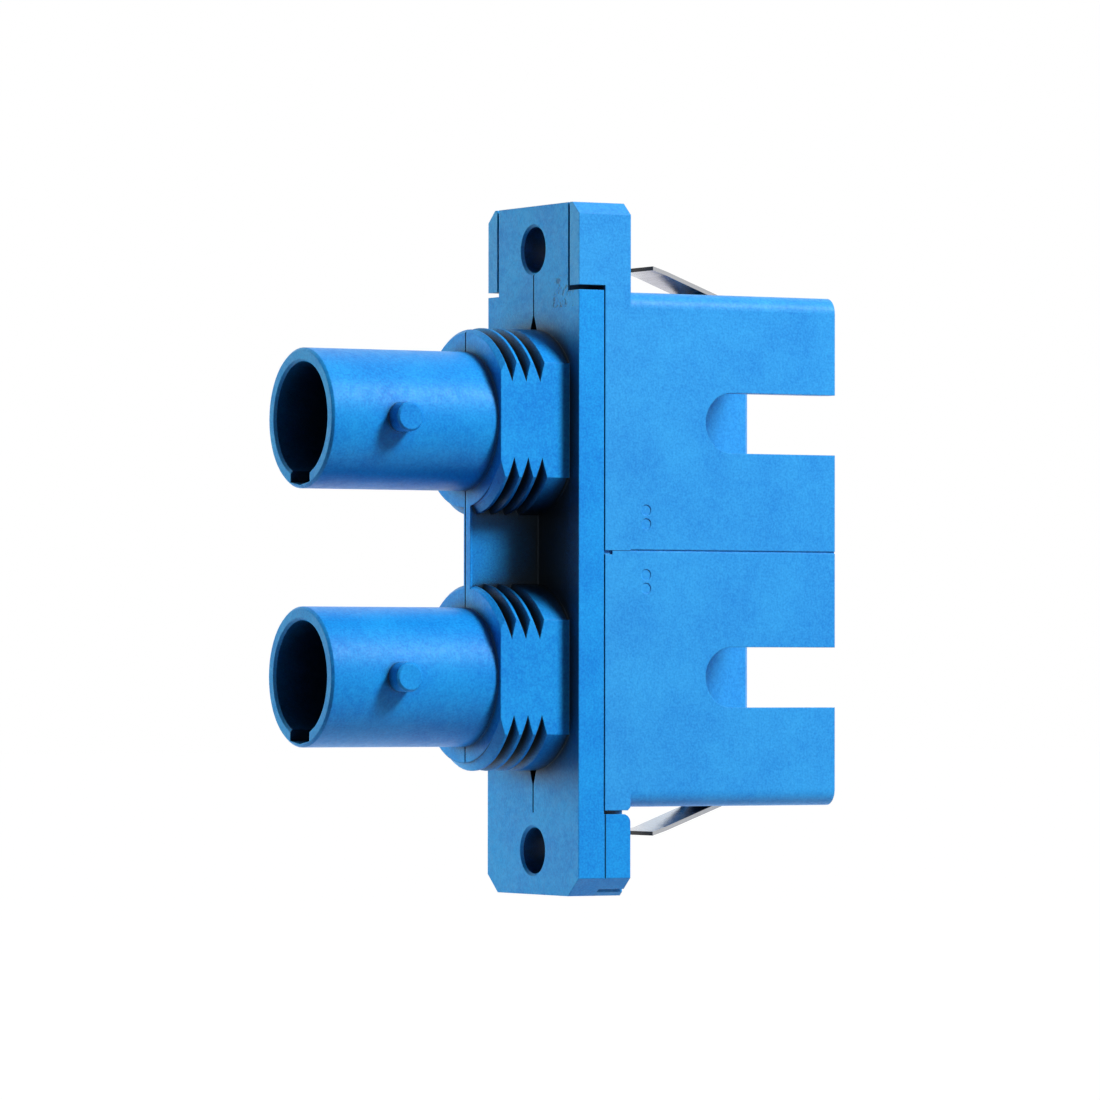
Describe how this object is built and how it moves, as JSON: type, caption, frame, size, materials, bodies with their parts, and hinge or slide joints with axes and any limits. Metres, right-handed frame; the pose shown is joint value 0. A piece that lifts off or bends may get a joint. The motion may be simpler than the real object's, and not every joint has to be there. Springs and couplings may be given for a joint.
{
  "type": "duplex hybrid fibre adapter",
  "caption": "Panel adapter that joins bayonet fibre plugs in line with push-pull fibre plugs, with a screw flange, threaded collars and a spring clip.",
  "frame": {"origin": "middle of the flange's rear face, between the two screw holes, where the panel seats", "axes": "+X out of the push-pull ports' mouths, -X out of the bayonet barrels, +Z along the flange from hole to hole, -Y the side with the key slots"},
  "size_m": [0.0279, 0.0094, 0.0344],
  "materials": {
    "housing_blue": "satin moulded",
    "latch_plastic": "satin moulded",
    "sleeve_ceramic": "ground ceramic",
    "clip_steel": "bright rolled strip"
  },
  "bodies": {
    "root": {"front_housing": "housing_blue", "rear_housing": "housing_blue", "upper_latch_insert": "latch_plastic", "lower_latch_insert": "latch_plastic", "upper_split_sleeve": "sleeve_ceramic", "lower_split_sleeve": "sleeve_ceramic", "panel_clip": "clip_steel"}
  },
  "joints": []
}
